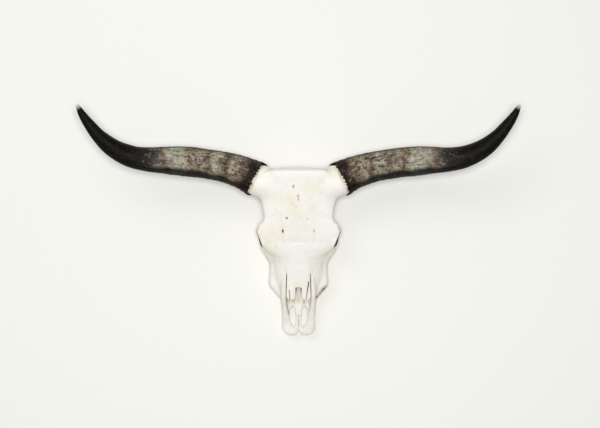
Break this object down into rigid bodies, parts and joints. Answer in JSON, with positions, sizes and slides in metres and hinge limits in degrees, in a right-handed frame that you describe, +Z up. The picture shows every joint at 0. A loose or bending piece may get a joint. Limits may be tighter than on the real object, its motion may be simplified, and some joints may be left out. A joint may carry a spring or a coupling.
{
  "type": "longhorn cow skull",
  "caption": "Life-size skull of a longhorn cow without its lower jaw, lying on its cheek teeth, with wide dark horns that sweep out, back and up.",
  "frame": {"origin": "middle of the bounding box seen from above, on the ground that the teeth rest on", "axes": "+X to the tip of one horn, across the head; -Y towards the muzzle; +Z up, away from the chewing surface"},
  "size_m": [1.2338, 0.659, 0.2864],
  "materials": {
    "bone": "matte, sun-bleached bone with faint warm stains",
    "horn": "dark horn with a low sheen, mottled brown and grey-green near the skull"
  },
  "bodies": {
    "root": {"frontal": "bone", "braincase": "bone", "cheekbone_left": "bone", "cheekbone_right": "bone", "maxilla_left": "bone", "maxilla_right": "bone", "premaxilla_left": "bone", "premaxilla_right": "bone", "nasal_left": "bone", "nasal_right": "bone", "vomer": "bone", "horn_left": "horn", "horn_right": "horn"}
  },
  "joints": []
}
